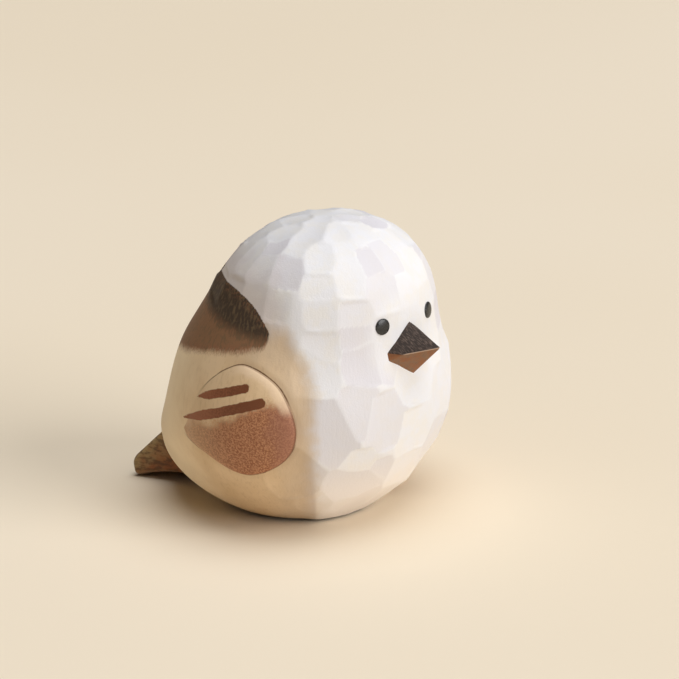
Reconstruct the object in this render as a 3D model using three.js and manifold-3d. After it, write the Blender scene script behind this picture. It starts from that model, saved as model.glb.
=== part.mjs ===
// Hand-carved, hand-painted wooden bird: a small ornament that stands on its own flat underside.
//
// Millimetres, +Z up. The bird faces -Y, its right side is -X, and it stands on the plane Z = 0.
// The origin is on the flat underside, below the middle of the body, and the bird is symmetric about X = 0.
//
// Pieces: one carved block for head and body, two wing plates let into its flanks, a tail on a dowel,
// a beak on its own peg, and two bead eyes on shanks. All of them are glued, so nothing moves.

import * as THREE from 'three';
import { mergeVertices } from 'three/addons/utils/BufferGeometryUtils.js';
import Module from 'manifold-3d';

const manifold = await Module();
manifold.setup();

// ---------------------------------------------------------------- driving dimensions

const GLUE_GAP = 0.3; // clearance round every glued piece

// The block is three ellipsoids blended into each other: head, body, and a rump that flares out low down
// towards the tail.
const HEAD = { centre: new THREE.Vector3(0, -4.5, 42.3), radii: new THREE.Vector3(19.1, 17.4, 13.2) };
const BODY = { centre: new THREE.Vector3(0, -0.4, 22.6), radii: new THREE.Vector3(27.4, 24.4, 24.2) };
const NECK_BLEND = 9.3;
const RUMP = { centre: new THREE.Vector3(0, 16.3, 10.6), radii: new THREE.Vector3(13.2, 13.2, 5) };
const RUMP_BLEND = 15.8;
const BLOCK_DETAIL = 11; // how often each edge of the starting icosahedron is divided

// Knife cuts: flat facets in rings round the head and down the breast.
const CUT_SPACING_HEAD = 6.2;
const CUT_SPACING_BREAST = 8.2;
const CUT_DEPTH = 0.42;
const CUT_DEPTH_SPREAD = 0.16;
const CUT_HALF_ARC = THREE.MathUtils.degToRad(50); // the breast is faceted this far round from the front
const CROWN_HEIGHT = 45.5; // above this height the head is faceted all the way round
const CUT_FLOOR = 4; // no facet is centred lower than this
const SLAB_WIDTH = 13; // the waste that one cut takes off
const SLAB_THICKNESS = 4;

const WING = {
  centre: { y: -4.2, z: 22.6 },
  // The rim in the side view, as [Y, Z]: an egg with its point low and to the rear.
  rim: [
    [-5.4, 33.1], // top
    [-11.7, 29.8],
    [-14.8, 22.6], // front
    [-12.5, 16.3],
    [-5.2, 12.7], // bottom
    [2.6, 15.3],
    [9.5, 18.4], // rear point
    [7.9, 21.3],
    [3.8, 27.4],
    [-0.8, 31.7],
  ],
  seatDepth: 1.5,
  proudFront: 1.4, // how far the front edge stands out of the flank
  proudRear: 0.25, // the rear edge is sanded almost flush
};

const TAIL = {
  rootY: 20, // where the wedge starts before it is fitted to the rump
  tipY: 34.4,
  rootTopZ: 18,
  tipTopZ: 3.3,
  tipBottomZ: 0.15,
  rootBottomZ: 1.9,
  hollowY: 28.6, // from here to the tip the underside curves down to the table
  rootHalfWidth: 8.2,
  tipHalfWidth: 11.5,
  edgeRadius: 0.8,
};

const DOWEL = {
  radius: 1,
  inBody: new THREE.Vector3(0, 21.5, 9.8),
  inTail: new THREE.Vector3(0, 30.6, 3.6),
};

const BEAK = {
  tip: new THREE.Vector3(0, -29.8, 35.3),
  seat: new THREE.Vector3(0, -23.5, 33.75), // middle of the beak's foot on the face, below the tip
  halfWidth: 5.7,
  halfHeight: 4.9,
  pegRadius: 1.5,
  pegDepth: 5, // how far the peg goes into the head
};

const EYE = {
  halfSpacing: 6.7,
  height: 39.3,
  radius: 1.42,
  dome: 0.55, // how far the bead stands out of the face
  sink: 0.5, // how deep the bead's rim is let in
  shankRadius: 0.55,
  shankLength: 3.4,
};

// ---------------------------------------------------------------- solids and meshes

// A three.js geometry as a closed manifold-3d solid.
function solidOf(geometry) {
  const bare = geometry.clone();
  bare.deleteAttribute('normal');
  bare.deleteAttribute('uv');
  const welded = mergeVertices(bare, 1e-4);
  const mesh = new manifold.Mesh({
    numProp: 3,
    vertProperties: new Float32Array(welded.attributes.position.array),
    triVerts: new Uint32Array(welded.index.array),
  });
  return new manifold.Manifold(mesh);
}

function geometryOf(solid) {
  const mesh = solid.getMesh();
  const geometry = new THREE.BufferGeometry();
  geometry.setAttribute('position', new THREE.BufferAttribute(new Float32Array(mesh.vertProperties), 3));
  geometry.setIndex(new THREE.BufferAttribute(new Uint32Array(mesh.triVerts), 1));
  const flat = geometry.toNonIndexed();
  flat.computeVertexNormals();
  return flat;
}

function part(name, geometry, color, roughness) {
  const material = new THREE.MeshStandardMaterial({ color, roughness, metalness: 0 });
  const mesh = new THREE.Mesh(geometry, material);
  mesh.name = name;
  return mesh;
}

// Moves every vertex of a geometry to where place(vertex) puts it.
function reshape(geometry, place) {
  const position = geometry.attributes.position;
  const vertex = new THREE.Vector3();
  for (let i = 0; i < position.count; i += 1) {
    vertex.fromBufferAttribute(position, i);
    place(vertex);
    position.setXYZ(i, vertex.x, vertex.y, vertex.z);
  }
  return geometry;
}

// A cylinder between two points, with its ends as flat caps.
function rodBetween(start, end, radius, sides) {
  const axis = new THREE.Vector3().subVectors(end, start);
  const rod = new THREE.CylinderGeometry(radius, radius, axis.length(), sides);
  const turn = new THREE.Quaternion().setFromUnitVectors(new THREE.Vector3(0, 1, 0), axis.clone().normalize());
  rod.applyQuaternion(turn);
  const middle = new THREE.Vector3().addVectors(start, end).multiplyScalar(0.5);
  rod.translate(middle.x, middle.y, middle.z);
  return solidOf(rod);
}

// ---------------------------------------------------------------- the uncut block

function ellipsoidDistance(point, { centre, radii }) {
  const scaled = new THREE.Vector3().subVectors(point, centre).divide(radii);
  const level = scaled.length();
  const slope = scaled.divide(radii).length();
  return slope === 0 ? -radii.x : (level * (level - 1)) / slope;
}

function smoothMin(a, b, blend) {
  const share = THREE.MathUtils.clamp(0.5 + (0.5 * (b - a)) / blend, 0, 1);
  return b * (1 - share) + a * share - blend * share * (1 - share);
}

// Negative inside the block, zero on its surface.
function blockDistance(point) {
  const trunk = smoothMin(ellipsoidDistance(point, HEAD), ellipsoidDistance(point, BODY), NECK_BLEND);
  return smoothMin(trunk, ellipsoidDistance(point, RUMP), RUMP_BLEND);
}

const SEARCH_REACH = 60;
const SEARCH_STEPS = 40;

// The point where a ray that starts inside the block leaves it.
function surfaceAlong(start, direction) {
  let inside = 0;
  let outside = SEARCH_REACH;
  const probe = new THREE.Vector3();
  for (let step = 0; step < SEARCH_STEPS; step += 1) {
    const middle = (inside + outside) / 2;
    probe.copy(start).addScaledVector(direction, middle);
    if (blockDistance(probe) < 0) inside = middle;
    else outside = middle;
  }
  return probe.copy(start).addScaledVector(direction, inside);
}

function surfaceNormal(point) {
  const step = 0.01;
  const slopeAlong = (axis) => {
    const ahead = point.clone().addScaledVector(axis, step);
    const behind = point.clone().addScaledVector(axis, -step);
    return blockDistance(ahead) - blockDistance(behind);
  };
  return new THREE.Vector3(
    slopeAlong(new THREE.Vector3(1, 0, 0)),
    slopeAlong(new THREE.Vector3(0, 1, 0)),
    slopeAlong(new THREE.Vector3(0, 0, 1)),
  ).normalize();
}

// The flank's X at a place in the side view.
function flankX(y, z) {
  return surfaceAlong(new THREE.Vector3(0, y, z), new THREE.Vector3(1, 0, 0)).x;
}

// ---------------------------------------------------------------- knife cuts

// A repeatable stand-in for the carver's hand: the same uneven series every time.
function unevenSeries(seed) {
  let state = seed;
  return () => {
    state = (state * 16807) % 2147483647;
    return state / 2147483647 - 0.5;
  };
}

// A slab leaves a clean facet only where the block has curved away from it at all four edges. In the hollow
// of the neck it would leave a step, so there is no cut there.
function curvesAway({ point, normal, depth }) {
  const turn = new THREE.Quaternion().setFromUnitVectors(new THREE.Vector3(0, 0, 1), normal);
  const edges = [[1, 0], [-1, 0], [0, 1], [0, -1]];
  return edges.every(([across, along]) => {
    const edge = new THREE.Vector3(across, along, 0).multiplyScalar(SLAB_WIDTH / 2).applyQuaternion(turn);
    return blockDistance(edge.add(point).addScaledVector(normal, -depth)) > 0;
  });
}

// Facets sit in rings round the neck's middle, each ring's facets between those of the ring above.
function knifeCuts() {
  const uneven = unevenSeries(2024);
  const middle = new THREE.Vector3(0, -2, 30);
  const cuts = [];
  let polar = 0.12;
  for (let ring = 0; polar < Math.PI; ring += 1) {
    const sample = surfaceAlong(middle, new THREE.Vector3(0, -Math.sin(polar), Math.cos(polar)));
    const spacing = sample.z > middle.z ? CUT_SPACING_HEAD : CUT_SPACING_BREAST;
    const reach = sample.distanceTo(middle);
    const count = Math.max(5, Math.round((2 * Math.PI * reach * Math.sin(polar)) / spacing));
    for (let i = 0; i < count; i += 1) {
      const turn = ((i + 0.5 * (ring % 2) + 0.3 * uneven()) / count) * 2 * Math.PI - Math.PI;
      const lean = polar + ((i % 2 ? 0.25 : -0.25) + 0.3 * uneven()) * (spacing / reach);
      const direction = new THREE.Vector3(
        Math.sin(turn) * Math.sin(lean),
        -Math.cos(turn) * Math.sin(lean),
        Math.cos(lean),
      );
      const point = surfaceAlong(middle, direction);
      const cut = { point, normal: surfaceNormal(point), depth: CUT_DEPTH + CUT_DEPTH_SPREAD * uneven() };
      const faceted = Math.abs(turn) < CUT_HALF_ARC || point.z > CROWN_HEIGHT;
      if (faceted && point.z > CUT_FLOOR && curvesAway(cut)) cuts.push(cut);
    }
    polar += spacing / reach;
  }
  return cuts;
}

// What the knife takes off: a slab whose lower face is the facet.
function knifeSlab({ point, normal, depth }) {
  const slab = new THREE.BoxGeometry(SLAB_WIDTH, SLAB_WIDTH, SLAB_THICKNESS);
  slab.applyQuaternion(new THREE.Quaternion().setFromUnitVectors(new THREE.Vector3(0, 0, 1), normal));
  const middle = point.clone().addScaledVector(normal, SLAB_THICKNESS / 2 - depth);
  slab.translate(middle.x, middle.y, middle.z);
  return solidOf(slab);
}

// The block before the knife. Growth moves the whole skin outwards.
function smoothBlock(growth) {
  const core = new THREE.Vector3(0, 2, 22);
  const ball = new THREE.IcosahedronGeometry(1, BLOCK_DETAIL);
  reshape(ball, (vertex) => {
    const direction = vertex.clone().normalize();
    vertex.copy(surfaceAlong(core, direction)).addScaledVector(direction, growth);
  });
  return solidOf(ball);
}

// The block with its facets, standing on its flat underside.
function carvedBlock() {
  let block = smoothBlock(0);
  for (const cut of knifeCuts()) block = block.subtract(knifeSlab(cut));
  const below = new THREE.BoxGeometry(80, 80, 20);
  below.translate(0, 0, -10);
  return block.subtract(solidOf(below));
}

// ---------------------------------------------------------------- wings

const wingRim = new THREE.CatmullRomCurve3(
  WING.rim.map(([y, z]) => new THREE.Vector3(0, y, z)),
  true,
);

// How far the wing stands out at a place in the side view: most in front, sanded away behind.
function wingLift(y, z) {
  const towardsFront = THREE.MathUtils.smoothstep(-y - 0.5 * (z - WING.centre.z), -9, 8);
  return THREE.MathUtils.lerp(WING.proudRear, WING.proudFront, towardsFront);
}

// A thin pebble whose rim is the wing's outline and whose middle surface is the flank.
// side is +1 for the bird's left (+X) and -1 for its right. Turning both the outline's sense and X
// keeps the faces pointing outwards.
function wingSolid(side, { growth = 0, extraLift = 0, extraDepth = 0 } = {}) {
  const pebble = new THREE.SphereGeometry(1, 40, 14);
  const centre = WING.centre;
  reshape(pebble, (vertex) => {
    // The sphere's poles lie on its Y axis: that is the wing's outward direction.
    const outward = Math.sign(vertex.y) * Math.sqrt(Math.abs(vertex.y));
    const spread = Math.sqrt(Math.hypot(vertex.x, vertex.z));
    const turn = Math.atan2(side * vertex.x, vertex.z) / (2 * Math.PI);
    const rim = wingRim.getPoint((turn + 1) % 1);
    const rimY = rim.y - centre.y;
    const rimZ = rim.z - centre.z;
    const scale = spread * (1 + growth / Math.hypot(rimY, rimZ));
    const y = centre.y + scale * rimY;
    const z = centre.z + scale * rimZ;
    const height = outward > 0 ? wingLift(y, z) + extraLift : WING.seatDepth + extraDepth;
    vertex.set(side * (flankX(y, z) + outward * height), y, z);
  });
  return solidOf(pebble);
}

function wingSeat(side) {
  return wingSolid(side, { growth: GLUE_GAP, extraLift: 4, extraDepth: GLUE_GAP });
}

// ---------------------------------------------------------------- tail

// The tail's dowel, or with a gap the hole that it is glued into.
function dowelRod(gap) {
  const overrun = new THREE.Vector3().subVectors(DOWEL.inTail, DOWEL.inBody).setLength(gap);
  const start = DOWEL.inBody.clone().sub(overrun);
  const end = DOWEL.inTail.clone().add(overrun);
  return rodBetween(start, end, DOWEL.radius + gap, 20);
}

// The tail's side view, a wedge with a hollowed underside. The bevel then adds the edge radius all round.
function tailProfile() {
  const { rootY, tipY, rootTopZ, tipTopZ, tipBottomZ, rootBottomZ, hollowY, edgeRadius } = TAIL;
  const endY = tipY - edgeRadius;
  const shape = new THREE.Shape();
  shape.moveTo(rootY, rootTopZ - edgeRadius);
  shape.lineTo(endY, tipTopZ - edgeRadius);
  shape.lineTo(endY - 0.6, tipBottomZ + edgeRadius);
  shape.quadraticCurveTo(hollowY, rootBottomZ + edgeRadius, rootY, rootBottomZ + edgeRadius);
  shape.closePath();
  return shape;
}

function tailSolid() {
  const flatWidth = 2;
  const wedge = new THREE.ExtrudeGeometry(tailProfile(), {
    depth: flatWidth,
    steps: 8,
    curveSegments: 8,
    bevelEnabled: true,
    bevelSegments: 4,
    bevelSize: TAIL.edgeRadius,
    bevelThickness: TAIL.edgeRadius,
  });
  // The extrusion runs along its own Z; the tail's width runs along X and fans out towards the tip.
  const drawnHalfWidth = flatWidth / 2 + TAIL.edgeRadius;
  reshape(wedge, (vertex) => {
    const along = THREE.MathUtils.clamp((vertex.x - TAIL.rootY) / (TAIL.tipY - TAIL.rootY), 0, 1);
    const halfWidth = THREE.MathUtils.lerp(TAIL.rootHalfWidth, TAIL.tipHalfWidth, along);
    const across = (vertex.z - flatWidth / 2) / drawnHalfWidth;
    vertex.set(across * halfWidth, vertex.x, vertex.y);
  });
  return solidOf(wedge);
}

// ---------------------------------------------------------------- beak

// The beak's peg, or with a gap the hole that it is glued into.
function beakPeg(gap) {
  const inwards = new THREE.Vector3().subVectors(BEAK.seat, BEAK.tip).normalize();
  const start = BEAK.seat.clone().addScaledVector(inwards, -2);
  const end = BEAK.seat.clone().addScaledVector(inwards, BEAK.pegDepth + gap);
  return rodBetween(start, end, BEAK.pegRadius + gap, 20);
}

// A four-sided pyramid that leans back from its tip, long enough to reach into the head before it is
// fitted to the face.
function beakPyramid() {
  const reach = 1.35;
  const pyramid = new THREE.ConeGeometry(reach, reach, 4);
  pyramid.translate(0, -reach / 2, 0);
  reshape(pyramid, (vertex) => {
    const across = vertex.x * BEAK.halfWidth;
    const up = -vertex.z * BEAK.halfHeight;
    vertex.lerpVectors(BEAK.tip, BEAK.seat, -vertex.y);
    vertex.x += across;
    vertex.z += up;
  });
  return solidOf(pyramid);
}

// ---------------------------------------------------------------- eyes

// A domed bead with a shank, turned about its own Y axis with the face's surface at Y = 0.
function eyeProfile({ growth, dome, sink, shankLength }) {
  const radius = EYE.radius + growth;
  const shankRadius = EYE.shankRadius + growth;
  const points = [
    new THREE.Vector2(0, -shankLength - growth),
    new THREE.Vector2(shankRadius, -shankLength - growth),
    new THREE.Vector2(shankRadius, -sink - growth),
    new THREE.Vector2(radius, -sink - growth),
  ];
  const domeSteps = 5;
  for (let i = 0; i <= domeSteps; i += 1) {
    const angle = (i / domeSteps) * (Math.PI / 2);
    points.push(new THREE.Vector2(radius * Math.cos(angle), dome * Math.sin(angle)));
  }
  points[points.length - 1].x = 0;
  return points;
}

function eyeSolid(side, profile) {
  const start = new THREE.Vector3(side * EYE.halfSpacing, 0, EYE.height);
  const seat = surfaceAlong(start, new THREE.Vector3(0, -1, 0));
  const normal = surfaceNormal(seat);
  seat.addScaledVector(normal, -CUT_DEPTH / 2);
  const bead = new THREE.LatheGeometry(eyeProfile(profile), 20);
  bead.applyQuaternion(new THREE.Quaternion().setFromUnitVectors(new THREE.Vector3(0, 1, 0), normal));
  bead.translate(seat.x, seat.y, seat.z);
  return solidOf(bead);
}

const EYE_BEAD = { growth: 0, dome: EYE.dome, sink: EYE.sink, shankLength: EYE.shankLength };
const EYE_SOCKET = { growth: GLUE_GAP, dome: 4, sink: EYE.sink, shankLength: EYE.shankLength };

// ---------------------------------------------------------------- the bird

function bodySolid() {
  let body = carvedBlock();
  for (const side of [-1, 1]) {
    body = body.subtract(wingSeat(side));
    body = body.subtract(eyeSolid(side, EYE_SOCKET));
  }
  return body.subtract(beakPeg(GLUE_GAP)).subtract(dowelRod(GLUE_GAP));
}

const blockWithGap = smoothBlock(GLUE_GAP);
const beak = beakPyramid().subtract(blockWithGap).add(beakPeg(0));
const tail = tailSolid().subtract(blockWithGap).subtract(dowelRod(GLUE_GAP));

const bird = new THREE.Group();
bird.add(part('body', geometryOf(bodySolid()), 0xefe6dc, 0.75));
bird.add(part('right_wing', geometryOf(wingSolid(-1)), 0xa87a52, 0.7));
bird.add(part('left_wing', geometryOf(wingSolid(1)), 0xa87a52, 0.7));
bird.add(part('tail', geometryOf(tail), 0x60442c, 0.7));
bird.add(part('tail_dowel', geometryOf(dowelRod(0)), 0xd9bf94, 0.85));
bird.add(part('beak', geometryOf(beak), 0x5a4638, 0.6));
bird.add(part('right_eye', geometryOf(eyeSolid(-1, EYE_BEAD)), 0x171514, 0.15));
bird.add(part('left_eye', geometryOf(eyeSolid(1, EYE_BEAD)), 0x171514, 0.15));

export default bird;
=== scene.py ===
# Hand-carved, hand-painted wooden bird: the visible model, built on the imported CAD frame.
#
# Row frame: metres, +Z up, the bird faces -Y and its right side is -X. The shapes below are worked out in
# millimetres and turned into metres when a piece is made. The block and the beak follow the CAD model's
# dimensions. The wings, the tail and the eyes are placed by the boxes of their CAD nodes.

import math

import bmesh
import bpy
import numpy as np
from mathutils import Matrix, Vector


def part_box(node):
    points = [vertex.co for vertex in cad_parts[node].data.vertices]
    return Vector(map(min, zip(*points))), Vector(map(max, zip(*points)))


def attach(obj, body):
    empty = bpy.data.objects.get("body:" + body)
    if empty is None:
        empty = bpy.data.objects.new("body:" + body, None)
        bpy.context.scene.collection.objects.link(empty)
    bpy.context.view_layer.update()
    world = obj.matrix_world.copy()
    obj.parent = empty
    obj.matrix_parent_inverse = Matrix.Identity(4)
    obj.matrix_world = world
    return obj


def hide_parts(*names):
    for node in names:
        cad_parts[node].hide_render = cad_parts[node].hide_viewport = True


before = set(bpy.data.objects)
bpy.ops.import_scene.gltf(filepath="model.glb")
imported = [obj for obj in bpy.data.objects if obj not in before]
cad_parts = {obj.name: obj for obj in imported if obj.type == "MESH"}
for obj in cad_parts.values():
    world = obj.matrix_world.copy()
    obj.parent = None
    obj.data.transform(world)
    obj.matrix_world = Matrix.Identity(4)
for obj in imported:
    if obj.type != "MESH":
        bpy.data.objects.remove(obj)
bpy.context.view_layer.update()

MM = 0.001
BODY_NAME = "root"  # the row has no joints, so everything rides on the one body

# ---------------------------------------------------------------- the block's dimensions, in millimetres

# Head, body and rump are ellipsoids that are blended into each other.
HEAD = {"centre": (0, -4.5, 42.3), "radii": (19.1, 17.4, 13.2)}
BODY = {"centre": (0, -0.4, 22.6), "radii": (27.4, 24.4, 24.2)}
RUMP = {"centre": (0, 16.3, 10.6), "radii": (13.2, 13.2, 5)}
NECK_BLEND = 9.3
RUMP_BLEND = 15.8
CORE = np.array((0.0, 2.0, 22.0))  # a point inside the block that sees its whole skin
BLOCK_REACH = 60.0  # no ray from inside the block is this long
SKIN_CELLS = 126  # grid cells along each side of the six patches of the block's skin

# Knife strokes run down the head and breast in columns. Each is flat across and slightly bowed along, with a
# ledge where the knife stopped.
STROKE_CENTRE = np.array((0.0, -3.0, 30.0))
STROKE_COLUMNS = 20
COLUMN_START = (0.48, 0.68)  # range of a column's first stroke, in radians from straight up
COLUMN_END = 2.8  # a column ends before this
STROKE_STEP = 1.9  # half lengths from one stroke to the next, so that they overlap a little
STROKE_LENGTHS = (0.7, 1.5)  # range of lengths, as shares of the usual length
HEAD_STROKE = {"length": 5.6, "depth": 0.36}
BREAST_STROKE = {"length": 11.0, "depth": 0.5}
STROKE_SPREAD = 0.22  # how uneven the depths are, in millimetres
STROKE_TILT = 0.22  # how far a stroke may lean away from straight down, in radians
STROKE_LIFT = 0.8  # before the cuts the skin is higher than the smooth block by this share of their depth
CROWN_RINGS = ((0, 1), (0.2, 6), (0.38, 11))  # rings of strokes on the crown: angle from the pole and count
STROKE_BOW = 90  # the larger, the flatter a stroke is along its length
LEDGE_SLOPE = 0.8  # how steeply a stroke runs out past its ends
STROKE_REACH = 14  # nothing further away than this is touched by a stroke
FACE_CALM = 0.45  # the strokes round the beak and eyes are this shallow
FACE_CENTRE = (0, -24, 36)

# Broad slanting cuts low on the breast: degrees round from the front, height, tilt in degrees, half length.
BREAST_CUTS = [
    (-51, 21, 30, 8.5),
    (-62, 13, 10, 6.0),
    (-36, 10, 75, 7.0),
    (51, 21, -30, 8.5),
    (36, 10, -75, 7.0),
]
BREAST_CUT_DEPTH = 0.8

# The white ends this many degrees round from the front.
WHITE_ON_BREAST = 50
WHITE_BESIDE_FACE = 12  # it reaches round this much further beside the face
WHITE_NEAR_CAPE = 20  # and this much further again next to the cape

# The cape's edges are heights that follow the degrees round from the front. It has a tip on either side.
CAPE_TIP_ANGLE = 69.2
CAPE_TOP_HEIGHT = 45.4  # its upper edge behind
CAPE_TOP_DROP = 6.4  # how far the upper edge comes down at the tip
CAPE_TOP_RUN = 10.5  # degrees over which it comes down
CAPE_TOP_SLOPE = 1.55  # how steep the upper edge is at the tip
CAPE_LOW_HEIGHT = 36.2  # its lower edge close behind the tip
CAPE_DARK_HEIGHT = 36.9  # at the tip the cape is dark above this and brown below

# The wing's rim in the side view, as (Y, Z): an egg with its point low and to the rear.
WING_RIM = [
    (-5.4, 33.1),  # top
    (-11.7, 29.8),
    (-14.8, 22.6),  # front
    (-12.5, 16.3),
    (-5.2, 12.7),  # bottom
    (2.6, 15.3),
    (9.5, 18.4),  # rear point
    (7.9, 21.3),
    (3.8, 27.4),
    (-0.8, 31.7),
]
WING_CENTRE = np.array((-4.2, 22.6))
WING_LEAN = 0.45  # the border between the wing's front and rear leans forwards by this share of its height
WING_PROUD = 0.75  # how far the front edge stands out of the flank
WING_REAR_PROUD = 0.06  # how far the rear part does
WING_REAR_SINK = 0.16  # how far the rear edge drops from there, into the flank
WING_DEPTH = 1.5  # how deep the hidden inner face lies
WING_ROUNDING = 1.5  # how far in from its rim the wing has risen to its full height
GROOVE_WIDTH = 0.9
GROOVE_DEPTH = 0.2
FLANK_FROM_X = 9  # what is drawn in the side view shows only further out than this

# The two painted stripes in the side view: their ends as (Y, Z) and their width.
SHORT_STRIPE = {"rear": (4.35, 26.05), "front": (-6.3, 29.55), "width": 1.65}
LONG_STRIPE = {"rear": (8.35, 21.05), "front": (-9.4, 27.3), "width": 1.85}


# ---------------------------------------------------------------- small tools


def linear(color):
    """A paint colour given as display red, green and blue up to 255, as the renderer wants it."""
    shares = (channel / 255 for channel in color)
    return tuple(s / 12.92 if s <= 0.04045 else ((s + 0.055) / 1.055) ** 2.4 for s in shares)


def smooth_step(value, low, high):
    """0 at low, 1 at high, smooth in between. Low may be the larger one."""
    share = np.clip((value - low) / (high - low), 0, 1)
    return share * share * (3 - 2 * share)


def node_box(node):
    """Lowest and highest corner of a CAD node, in millimetres."""
    low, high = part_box(node)
    return np.array(low) / MM, np.array(high) / MM


def closed_curve(points, samples):
    """A smooth closed curve through the points (Catmull-Rom)."""
    points = np.array(points, float)
    at = np.linspace(0, len(points), samples, endpoint=False)
    index = at.astype(int)
    t = (at - index)[:, None]
    before, start, end, after = (points[(index + k) % len(points)] for k in (-1, 0, 1, 2))
    bend = 2 * before - 5 * start + 4 * end - after
    twist = 3 * start - before - 3 * end + after
    return start + 0.5 * (end - before) * t + 0.5 * bend * t**2 + 0.5 * twist * t**3


def make_piece(name, node, points, faces, material, attributes=None):
    """A mesh piece from points in millimetres that stands for a CAD node, with its faces turned outwards."""
    mesh = bpy.data.meshes.new(name)
    mesh.from_pydata((points * MM).tolist(), [], [list(face) for face in faces])
    for label, values in (attributes or {}).items():
        layer = mesh.attributes.new(label, "FLOAT", "POINT")
        layer.data.foreach_set("value", np.asarray(values, np.float32))
    skin = bmesh.new()
    skin.from_mesh(mesh)
    bmesh.ops.recalc_face_normals(skin, faces=skin.faces)
    skin.to_mesh(mesh)
    skin.free()
    mesh.shade_smooth()
    mesh.materials.append(material)
    piece = bpy.data.objects.new(name, mesh)
    bpy.context.scene.collection.objects.link(piece)
    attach(piece, BODY_NAME)
    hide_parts(node)
    return piece


def capped_rings(rings):
    """Points and faces of a closed skin through rings of points; each end is closed at its middle point."""
    count, around = rings.shape[:2]
    points = np.concatenate([rings.reshape(-1, 3), rings[:1].mean(1), rings[-1:].mean(1)])
    first_pole = count * around
    last_pole = first_pole + 1
    faces = []
    for ring in range(count - 1):
        for i in range(around):
            here = ring * around + i
            beside = ring * around + (i + 1) % around
            faces.append((here, beside, beside + around, here + around))
    for i in range(around):
        beside = (i + 1) % around
        faces.append((first_pole, beside, i))
        last_ring = (count - 1) * around
        faces.append((last_pole, last_ring + i, last_ring + beside))
    return points, faces


# ---------------------------------------------------------------- the smooth block


def ellipsoid_distance(points, shape):
    """Nearly the signed distance from an ellipsoid, negative inside it."""
    scaled = (points - shape["centre"]) / shape["radii"]
    level = np.linalg.norm(scaled, axis=-1)
    slope = np.linalg.norm(scaled / shape["radii"], axis=-1)
    return level * (level - 1) / np.maximum(slope, 1e-9)


def smooth_min(a, b, blend):
    """The smaller of two distances, rounded over where they are within blend of each other."""
    share = np.clip(0.5 + 0.5 * (b - a) / blend, 0, 1)
    return b * (1 - share) + a * share - blend * share * (1 - share)


def block_distance(points):
    """Negative inside the block, zero on its skin."""
    trunk = smooth_min(ellipsoid_distance(points, HEAD), ellipsoid_distance(points, BODY), NECK_BLEND)
    return smooth_min(trunk, ellipsoid_distance(points, RUMP), RUMP_BLEND)


def skin_along(starts, directions):
    """Where rays that start inside the block leave it, found by halving."""
    directions = np.broadcast_to(np.asarray(directions, float), starts.shape)
    inside = np.zeros(len(starts))
    outside = np.full(len(starts), BLOCK_REACH)
    for _ in range(32):
        middle = (inside + outside) / 2
        within = block_distance(starts + directions * middle[:, None]) < 0
        inside = np.where(within, middle, inside)
        outside = np.where(within, outside, middle)
    return starts + directions * inside[:, None]


def skin_normals(points):
    """Outward directions, square to the smooth block's skin."""
    step = 0.05
    slopes = [
        block_distance(points + axis * step) - block_distance(points - axis * step) for axis in np.eye(3)
    ]
    normals = np.stack(slopes, axis=-1)
    return normals / np.linalg.norm(normals, axis=-1, keepdims=True)


def flank_x(y, z):
    """How far the smooth flank stands out from the plane of symmetry."""
    starts = np.stack([np.zeros_like(y), y, z], axis=-1)
    return skin_along(starts, (1, 0, 0))[:, 0]


# ---------------------------------------------------------------- the painted areas


def degrees_from_front(points):
    return np.degrees(np.arctan2(np.abs(points[:, 0]), -points[:, 1]))


def cape_top_height(angle):
    """Upper edge of the dark cape: it drops to a tip on either side of the neck."""
    return CAPE_TOP_HEIGHT - CAPE_TOP_DROP * np.exp(-(angle - CAPE_TIP_ANGLE) / CAPE_TOP_RUN)


def cape_low_height(angle):
    """Lower edge of the cape: it falls gently towards the back, and turns up into the tip."""
    past_tip = angle - CAPE_TIP_ANGLE
    return CAPE_LOW_HEIGHT - 0.082 * past_tip + 2.6 * np.exp(-past_tip / 1.2)


def inside_cape_top(points, angle):
    """How far a point is below the cape's upper edge, in millimetres."""
    slope = CAPE_TOP_SLOPE * np.exp(-np.clip(angle - CAPE_TIP_ANGLE, 0, None) / CAPE_TOP_RUN)
    return (cape_top_height(np.clip(angle, 45, None)) - points[:, 2]) / np.sqrt(1 + slope**2)


def inside_cape_low(points, angle):
    """How far a point is above the cape's lower edge."""
    return points[:, 2] - cape_low_height(np.clip(angle, 65, None))


def inside_cape_dark(points, angle):
    """How far a point is above the line where the cape turns from dark to brown."""
    return points[:, 2] - CAPE_DARK_HEIGHT - 0.055 * (angle - CAPE_TIP_ANGLE)


def inside_white(points, angle):
    """How far a point is inside the white face, breast and crown, in millimetres. The white runs on a little
    way under the cape's upper edge."""
    height = points[:, 2]
    edge_angle = WHITE_ON_BREAST + WHITE_BESIDE_FACE * smooth_step(height, 30, 41)
    edge_angle = edge_angle + WHITE_NEAR_CAPE * smooth_step(height, 39, 45)
    reach = np.hypot(points[:, 0], points[:, 1])
    in_front = np.radians(edge_angle - angle) * reach
    cape_top = cape_top_height(np.clip(angle, CAPE_TIP_ANGLE, None))
    over_cape = height - cape_top + 3 * smooth_step(angle, 70, 76)
    return np.maximum(in_front, over_cape)


# ---------------------------------------------------------------- knife strokes


def stroke_size(height):
    """Strokes are short on the crown and grow towards the breast."""
    share = smooth_step(height, 40, 28)
    return {key: (1 - share) * HEAD_STROKE[key] + share * BREAST_STROKE[key] for key in HEAD_STROKE}


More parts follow.
